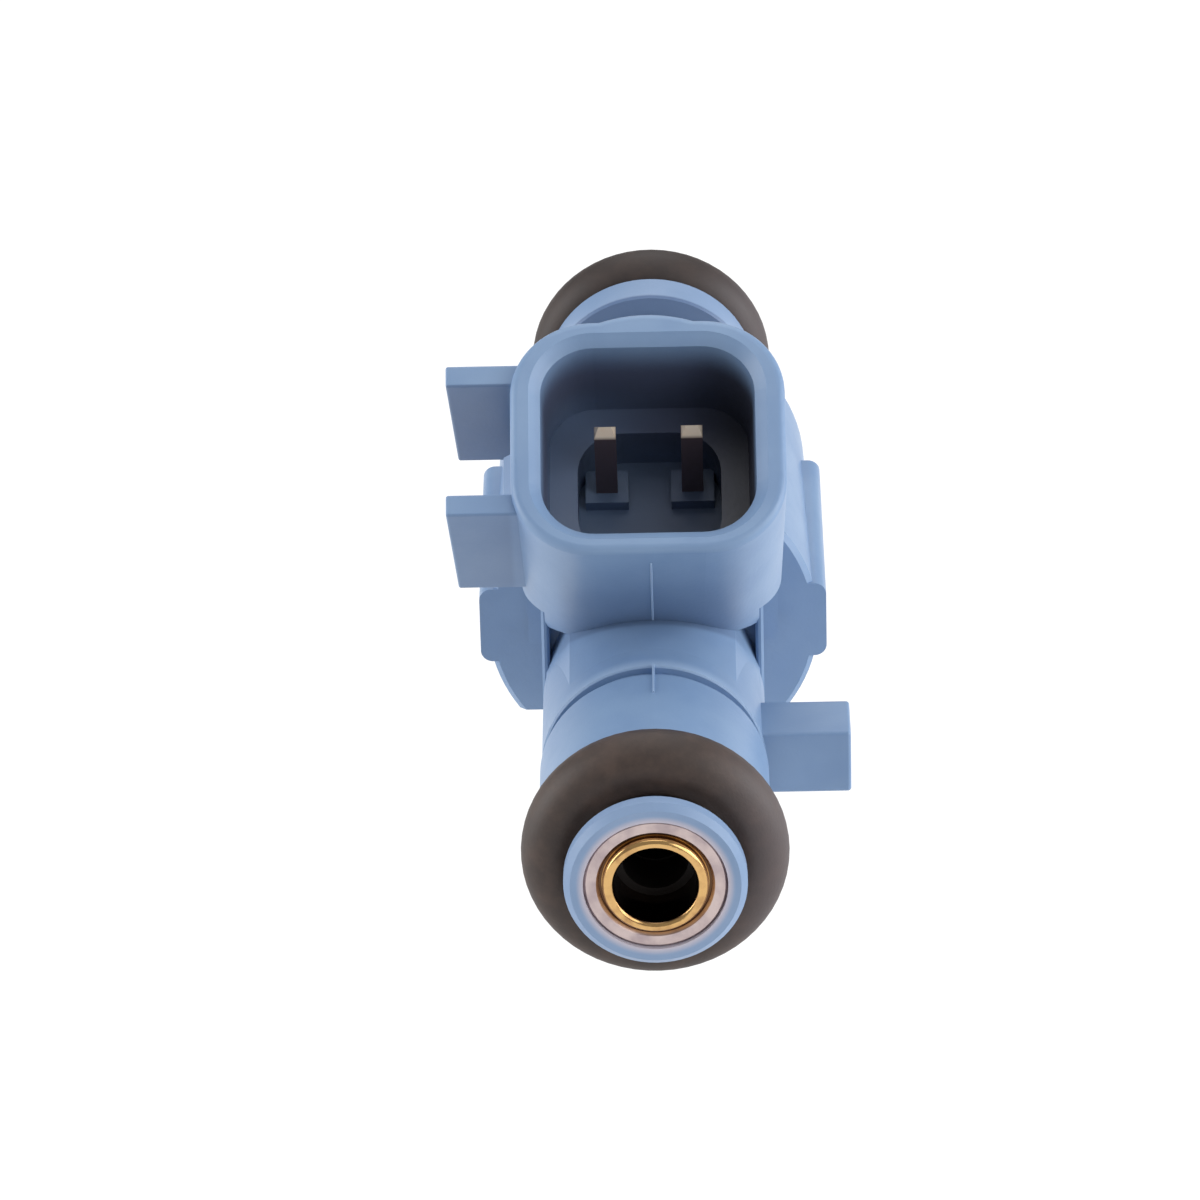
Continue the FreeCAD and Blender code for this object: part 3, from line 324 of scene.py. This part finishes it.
def ring_paint(finish, tone):
    """Painted light, pale pink, where the ring meets the tube's mouth; painted shade on the lower
    collar's front.
    """
    across, along, up = finish.axes()
    mouth = distance(across, up).past(*RING_MOUTH_RADII) * along.past(*RING_MOUTH_ALONG)
    (_, collar_front, _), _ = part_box("lower_collar")
    collar_shade = (along - collar_front).between(*COLLAR_FRONT_BAND)
    # Painted light at the tube's mouth.
    mouth_lit = finish.mix(mouth * RING_MOUTH_LIGHT, tone, MOUTH_LIGHT_PINK)
    # Painted shade on the lower collar's front.
    return finish.mix(collar_shade * COLLAR_FRONT_SHADE, mouth_lit, COLLAR_SHADE_BLUE)


def blade_shade(finish):
    """Painted shade over all of a contact blade but its tip, down in the socket."""
    _, depth, _ = tower_places(finish)
    return depth.past(*BLADE_SHADE_DEPTHS)


def filter_shade(finish):
    """Painted shade in the bore of the filter's ring and in the gap round its lip."""
    across, along, up = finish.axes()
    radius = distance(across, up)
    gap = radius.past(*FILTER_GAP_RADII) * along.past(*FILTER_GAP_ALONG)
    return radius.past(*FILTER_BORE_RADII).or_more(gap) * FILTER_SHADE


# --- finishes --------------------------------------------------------------------------------

# Sizes, depths, spacings and places are in millimetres. A pattern's levels are where it starts
# to show and where it shows in full; shares and roughnesses go from 0 to 1.

FLOW_CLOUD_SIZE = 6
FLOW_CLOUD_LEVELS = (0.3, 0.7)
FLOW_CLOUD_ROUGHNESS = 0.06
MOULD_GRAIN_SIZE = 0.22
MOULD_GRAIN_DEPTH = 0.008
MOULD_GRAIN_ROUGHNESS = 0.08

RUBBER_DUST_SIZE = 1.6
RUBBER_DUST_LEVELS = (0.35, 0.75)
RUBBER_DUST_ROUGHNESS = 0.16
RUBBER_GRAIN_SIZE = 0.18
RUBBER_DEPTH = 0.02
RUBBER_ROUGHNESS = 0.5
RUBBER_DARK = colour(54, 42, 37)
RUBBER_BROWN = colour(72, 57, 50)
CLEAN_RUBBER = colour(30, 24, 26)
CLEAN_RUBBER_ALONG = (20, 50)
CLEAN_RUBBER_SHARE = 0.5
# A painted sheen, paler and greyer towards the seals' right side.
RUBBER_SHEEN = colour(96, 88, 92)
RUBBER_SHEEN_ACROSS = (2, 7.5)
RUBBER_SHEEN_SHARE = 0.5

STEEL_BLOTCH_SIZE = 1.2
STEEL_BLOTCH_LEVELS = (0.3, 0.7)
STEEL_BLOTCH_SHARE = 0.5
STEEL_BLOTCH_ROUGHNESS = 0.06
STEEL_MARK_SHARE = 0.9
STAINED_MOUTH_ALONG = (-3, -3.5)
STAIN_LEVELS = (0.35, 0.7)
STAIN_PALE = colour(204, 187, 184)
STAIN_DARK = colour(176, 160, 162)

TARNISH_SIZE = 0.9
TARNISH_LEVELS = (0.4, 0.8)
TARNISH_ROUGHNESS = 0.1
TARNISH_DEPTH = 0.004

WIRE_SPACING = 0.3
WIRE_DEPTH = 0.1
WIRE_METALLIC = 0.9
WIRE_ROUGHNESS = 0.3
WIRE_CREST_ROUGHNESS = 0.1
WIRE_SHADE = colour(120, 60, 30)
WIRE_COPPER = colour(196, 110, 62)


def moulded_plastic(name, light, dark, roughness, paint=None):
    """Satin injection-moulded plastic: faint flow clouding over the mould's fine grain.

    paint, if given, takes the finish and its colour and gives back the colour to use.
    """
    finish = Finish(name)
    clouds = finish.noise(FLOW_CLOUD_SIZE, detail=3).over(*FLOW_CLOUD_LEVELS)
    grain = finish.noise(MOULD_GRAIN_SIZE)
    tone = finish.mix(clouds, light, dark)
    uneven = clouds * FLOW_CLOUD_ROUGHNESS + grain * MOULD_GRAIN_ROUGHNESS
    middle = (FLOW_CLOUD_ROUGHNESS + MOULD_GRAIN_ROUGHNESS) / 2
    finish.set(
        Base_Color=paint(finish, tone) if paint else tone,
        Roughness=uneven + (roughness - middle),
    )
    finish.bump(grain, MOULD_GRAIN_DEPTH)
    return finish.material


def seal_rubber():
    """Black rubber with a brown cast, dusty in places, cleaner on the far seal, with a painted
    sheen towards its right side.
    """
    finish = Finish("seal_rubber")
    dust = finish.noise(RUBBER_DUST_SIZE, detail=4, roughness=0.6)
    grain = finish.noise(RUBBER_GRAIN_SIZE)
    across, along, _ = finish.axes()
    clean = along.past(*CLEAN_RUBBER_ALONG) * CLEAN_RUBBER_SHARE
    # Painted sheen towards the right side.
    sheen = across.past(*RUBBER_SHEEN_ACROSS) * RUBBER_SHEEN_SHARE
    brown = finish.mix(dust.over(*RUBBER_DUST_LEVELS), RUBBER_DARK, RUBBER_BROWN)
    wiped = finish.mix(clean, brown, CLEAN_RUBBER)
    finish.set(
        Base_Color=finish.mix(sheen, wiped, RUBBER_SHEEN),
        Roughness=RUBBER_ROUGHNESS + dust * RUBBER_DUST_ROUGHNESS,
    )
    finish.bump(dust * 0.5 + grain * 0.5, RUBBER_DEPTH)
    return finish.material


def turned_metal(name, light, dark, roughness, mark_spacing, mark_depth=0.006):
    """Metal turned on a lathe: fine marks round the axis, and a warm stain at the mouth."""
    finish = Finish(name)
    across, along, up = finish.axes()
    marks = waves(distance(across, up) + along, mark_spacing)
    blotches = finish.noise(STEEL_BLOTCH_SIZE, detail=3)
    darker = blotches.over(*STEEL_BLOTCH_LEVELS) * STEEL_BLOTCH_SHARE
    clean = finish.mix(darker, light, dark)
    stain = finish.mix(blotches.over(*STAIN_LEVELS), STAIN_PALE, STAIN_DARK)
    finish.set(
        Base_Color=finish.mix(along.past(*STAINED_MOUTH_ALONG), clean, stain),
        Metallic=1.0,
        Roughness=roughness + blotches * STEEL_BLOTCH_ROUGHNESS,
    )
    relief = marks * STEEL_MARK_SHARE + blotches * (1 - STEEL_MARK_SHARE)
    finish.bump(relief, mark_depth)
    return finish.material


def polished_brass(name, bright, tarnished, shade_colour, painted_shade, roughness, metallic=1.0):
    """Drawn brass or gold plate, bright, with faint tarnish.

    One argument gives the colour of painted shade, and the next takes the finish and gives back
    how far that painted shade covers the metal.
    """
    finish = Finish(name)
    tarnish = finish.noise(TARNISH_SIZE, detail=3)
    metal = finish.mix(tarnish.over(*TARNISH_LEVELS), bright, tarnished)
    finish.set(
        Base_Color=finish.mix(painted_shade(finish), metal, shade_colour),
        Metallic=metallic,
        Roughness=roughness + tarnish * TARNISH_ROUGHNESS,
    )
    finish.bump(tarnish, TARNISH_DEPTH)
    return finish.material


def wound_copper():
    """Enamelled wire laid in close turns round the bobbin."""
    finish = Finish("wound_copper")
    _, along, _ = finish.axes()
    turns = waves(along, WIRE_SPACING)
    finish.set(
        Base_Color=finish.mix(turns, WIRE_SHADE, WIRE_COPPER),
        Metallic=WIRE_METALLIC,
        Roughness=WIRE_ROUGHNESS + turns * WIRE_CREST_ROUGHNESS,
    )
    finish.bump(turns, WIRE_DEPTH)
    return finish.material


FINISHES = {
    "housing_plastic": moulded_plastic(
        "housing_blue", colour(124, 151, 185), colour(113, 141, 178),
        roughness=0.42, paint=housing_paint),
    "ring_plastic": moulded_plastic(
        "ring_blue", colour(133, 157, 191), colour(122, 148, 183),
        roughness=0.4, paint=ring_paint),
    "cap_plastic": moulded_plastic(
        "cap_black", colour(44, 44, 47), colour(37, 37, 40), roughness=0.45),
    "bobbin_plastic": moulded_plastic(
        "bobbin_grey", colour(62, 64, 66), colour(52, 54, 56), roughness=0.5),
    "filter_plastic": moulded_plastic(
        "filter_dark", colour(30, 24, 20), colour(20, 16, 14), roughness=0.6),
    "seal_rubber": seal_rubber(),
    "tube_steel": turned_metal(
        "drawn_steel", colour(200, 199, 200), colour(182, 180, 182),
        roughness=0.28, mark_spacing=0.09),
    "magnet_steel": turned_metal(
        "magnet_steel", colour(170, 170, 172), colour(150, 150, 153),
        roughness=0.35, mark_spacing=0.12),
    "spring_steel": turned_metal(
        "spring_steel", colour(160, 158, 154), colour(140, 138, 135),
        roughness=0.25, mark_spacing=0.2, mark_depth=0.002),
    "valve_steel": turned_metal(
        "valve_steel", colour(205, 205, 207), colour(190, 190, 193),
        roughness=0.14, mark_spacing=0.1, mark_depth=0.002),
    "filter_brass": polished_brass(
        "filter_brass", colour(218, 176, 116), colour(176, 134, 90),
        shade_colour=colour(80, 56, 44), painted_shade=filter_shade, roughness=0.14),
    "contact_gold": polished_brass(
        "contact_gold", colour(255, 236, 212), colour(250, 220, 188),
        shade_colour=colour(96, 80, 84), painted_shade=blade_shade, roughness=0.3, metallic=0.25),
    "copper_wire": wound_copper(),
}
# The seams' plastic is paler than the housing's: a painted highlight along their ridges.
SEAM_HIGHLIGHT_FINISH = moulded_plastic(
    "seam_highlight_blue", colour(146, 170, 201), colour(136, 162, 194), roughness=0.4)


def dress_nodes():
    """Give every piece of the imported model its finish."""
    for part in frame["record"]["subparts"]:
        node = frame["nodes"][part["node"]]
        node.data.materials.clear()
        node.data.materials.append(FINISHES[part["material_slot"]])


dress_nodes()


# --- seams left by the mould -------------------------------------------------------------------

# In millimetres, but for the crest's inset and rise, which are shares of the seam's width and
# height, the least upward part of a top face's normal, and the tower's lean in radians.

SEAM_CREST_INSET = 0.25
SEAM_CREST_RISE = 0.4
SEAM_TOP_NORMAL = 0.9
SEAM_ACROSS = 0.05
COLLAR_SEAM_ALONG = 7.85
COLLAR_SEAM_UP = 5.98
TOWER_SEAM_DEPTH = 4.8
TOWER_SEAM_RISE = -7.2
TOWER_LEAN = math.atan2(plug_socket["axis"][2], plug_socket["axis"][1])


def mould_seam(name, place, width, length, height, turn=0):
    """Raised line where the mould's halves met: a low ridge with a narrow crest.

    It lies along Y before it is turned about X, and is moved to place.
    """
    bpy.ops.object.select_all(action="DESELECT")
    bpy.ops.mesh.primitive_cube_add(size=MM)
    seam = bpy.context.object
    seam.name = name
    bpy.ops.object.mode_set(mode="EDIT")
    bpy.ops.mesh.select_all(action="SELECT")
    bpy.ops.transform.resize(value=(width, length, height), center_override=(0, 0, 0))
    bpy.ops.mesh.select_mode(type="FACE")
    bpy.ops.mesh.select_all(action="DESELECT")
    bpy.ops.object.mode_set(mode="OBJECT")
    for face in seam.data.polygons:
        face.select = face.normal.z > SEAM_TOP_NORMAL
    bpy.ops.object.mode_set(mode="EDIT")
    bpy.ops.mesh.inset(
        thickness=width * SEAM_CREST_INSET * MM, depth=height * SEAM_CREST_RISE * MM)
    bpy.ops.object.mode_set(mode="OBJECT")
    seam.rotation_euler = (turn, 0, 0)
    seam.location = Vector(place) * MM
    bpy.ops.object.transform_apply(location=True, rotation=True, scale=True)
    seam.data.materials.append(SEAM_HIGHLIGHT_FINISH)
    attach(seam, "injector_body")


def tower_point(depth, rise):
    """Place of a seam on the tower, from its depth below the rim and its rise."""
    _, out_along, out_up = plug_socket["axis"]
    _, rim_along, rim_up = plug_socket["pos_m"]
    along = rim_along / MM - out_along * depth + out_up * rise
    up = rim_up / MM - out_up * depth - out_along * rise
    return (SEAM_ACROSS, along, up)


mould_seam(
    "collar_seam", (SEAM_ACROSS, COLLAR_SEAM_ALONG, COLLAR_SEAM_UP),
    width=0.14, length=3.3, height=0.48)
mould_seam(
    "tower_seam", tower_point(TOWER_SEAM_DEPTH, TOWER_SEAM_RISE),
    width=0.12, length=6.8, height=0.09, turn=TOWER_LEAN)


# --- stage: camera, floor, light ---------------------------------------------------------------

# The sensor and the lens are in the camera's own millimetres; other lengths are in metres.

VIEW_ELEVATION = math.radians(27.8)
VIEW_ROLL = math.radians(0.29)
PART_ROLL = math.radians(1.57)
VIEW_DISTANCE = 417 * MM
VIEW_TARGET = Vector((-3.05, 30, -0.55)) * MM
SENSOR = 36
LENS = 216.9
NEAREST_SEEN = 10 * MM
FARTHEST_SEEN = 10000 * MM

FLOOR_DROP = 30 * MM
FLOOR_WIDTH = 6000 * MM
FLOOR_PALE = (0.9, 0.9, 0.9, 1)
FLOOR_ROUGHNESS = 0.9
FLOOR_WHITE_LEVEL = 1.1
FLOOR_NEAR_RADIUS = 200 * MM
FLOOR_FAR_RADIUS = 500 * MM
FLOOR_NEAR_WHITE = 0.75
FLOOR_FAR_WHITE = 1.0
WHITE = (1, 1, 1, 1)
SURROUND_LEVEL = 0.34

LAMP_SIZE = 400 * MM
LAMP_AIM = Vector((0, 25, 0)) * MM


def add_camera():
    """Look along the injector from its inlet end and from above.

    The camera is also turned a little about the injector's own axis, as if the injector lay
    rolled.
    """
    back = Vector((0, -math.cos(VIEW_ELEVATION), math.sin(VIEW_ELEVATION)))
    level = Vector((1, 0, 0))
    rise = back.cross(level)
    right = level * math.cos(VIEW_ROLL) + rise * math.sin(VIEW_ROLL)
    up = rise * math.cos(VIEW_ROLL) - level * math.sin(VIEW_ROLL)
    turn = Matrix((right, up, back)).transposed().to_4x4()
    place = Matrix.Translation(VIEW_TARGET + back * VIEW_DISTANCE) @ turn
    data = bpy.data.cameras.new("camera")
    data.lens = LENS
    data.sensor_width = SENSOR
    data.clip_start = NEAREST_SEEN
    data.clip_end = FARTHEST_SEEN
    camera = bpy.data.objects.new("camera", data)
    camera.matrix_world = Matrix.Rotation(PART_ROLL, 4, "Y") @ place
    bpy.context.scene.collection.objects.link(camera)
    bpy.context.scene.camera = camera


def add_floor(height):
    """Pale floor that keeps a soft shadow, and is nearly white to the camera and in reflections.

    Its shadow fades with distance, as the share of white grows from near to far.
    """
    bpy.ops.object.select_all(action="DESELECT")
    bpy.ops.mesh.primitive_plane_add(size=FLOOR_WIDTH, location=(0, 0, height))
    floor = bpy.context.object
    floor.name = "floor"
    finish = Finish("pale_floor")
    finish.set(Base_Color=FLOOR_PALE, Roughness=FLOOR_ROUGHNESS)
    camera_ray = finish.node("ShaderNodeLightPath", output="Is Camera Ray")
    glossy_ray = finish.node("ShaderNodeLightPath", output="Is Glossy Ray")
    across, along, _ = finish.axes()
    far = distance(across, along).over(FLOOR_NEAR_RADIUS, FLOOR_FAR_RADIUS)
    whiteness = far * (FLOOR_FAR_WHITE - FLOOR_NEAR_WHITE) + FLOOR_NEAR_WHITE
    share = camera_ray.or_more(glossy_ray) * whiteness
    lit = Signal(finish, finish.shader.outputs[0])
    white = finish.node(
        "ShaderNodeEmission", {}, {"Color": WHITE, "Strength": FLOOR_WHITE_LEVEL})
    both = finish.node("ShaderNodeMixShader", {}, [share, lit, white])
    finish.feed(finish.tree.nodes["Material Output"].inputs["Surface"], both)
    floor.data.materials.append(finish.material)


def add_world(level):
    """Even surrounding light, white where the camera sees it."""
    world = bpy.data.worlds.new("studio")
    bpy.context.scene.world = world
    world.use_nodes = True
    tree = world.node_tree
    background = tree.nodes["Background"]
    rays = tree.nodes.new("ShaderNodeLightPath")
    mix = tree.nodes.new("ShaderNodeMix")
    mix.data_type = "FLOAT"
    tree.links.new(rays.outputs["Is Camera Ray"], mix.inputs[MIX_AMOUNT])
    for number, value in zip(MIX_NUMBERS, (level, 1.0)):
        mix.inputs[number].default_value = value
    tree.links.new(mix.outputs[MIXED_NUMBER], background.inputs["Strength"])
    background.inputs["Color"].default_value = WHITE


def add_lamp(name, place, power):
    """Round soft lamp at place, in millimetres, aimed at the injector's middle."""
    data = bpy.data.lights.new(name, "AREA")
    data.shape = "DISK"
    data.size = LAMP_SIZE
    data.energy = power
    lamp = bpy.data.objects.new(name, data)
    place = Vector(place) * MM
    turn = (place - LAMP_AIM).to_track_quat("Z", "Y").to_matrix().to_4x4()
    lamp.matrix_world = Matrix.Translation(place) @ turn
    bpy.context.scene.collection.objects.link(lamp)


(_, _, lowest_point), _ = cad_box
add_camera()
add_floor(lowest_point - FLOOR_DROP)
add_world(SURROUND_LEVEL)
add_lamp("right", (483, 25, 129), power=1.75)
add_lamp("left", (-483, 25, 129), power=1.87)
add_lamp("right_front", (347, -266, 211), power=0.8)
add_lamp("back", (0, 346, 383), power=0.68)
add_lamp("top", (0, 16, 500), power=0.55)

bpy.context.scene.view_settings.view_transform = "Standard"
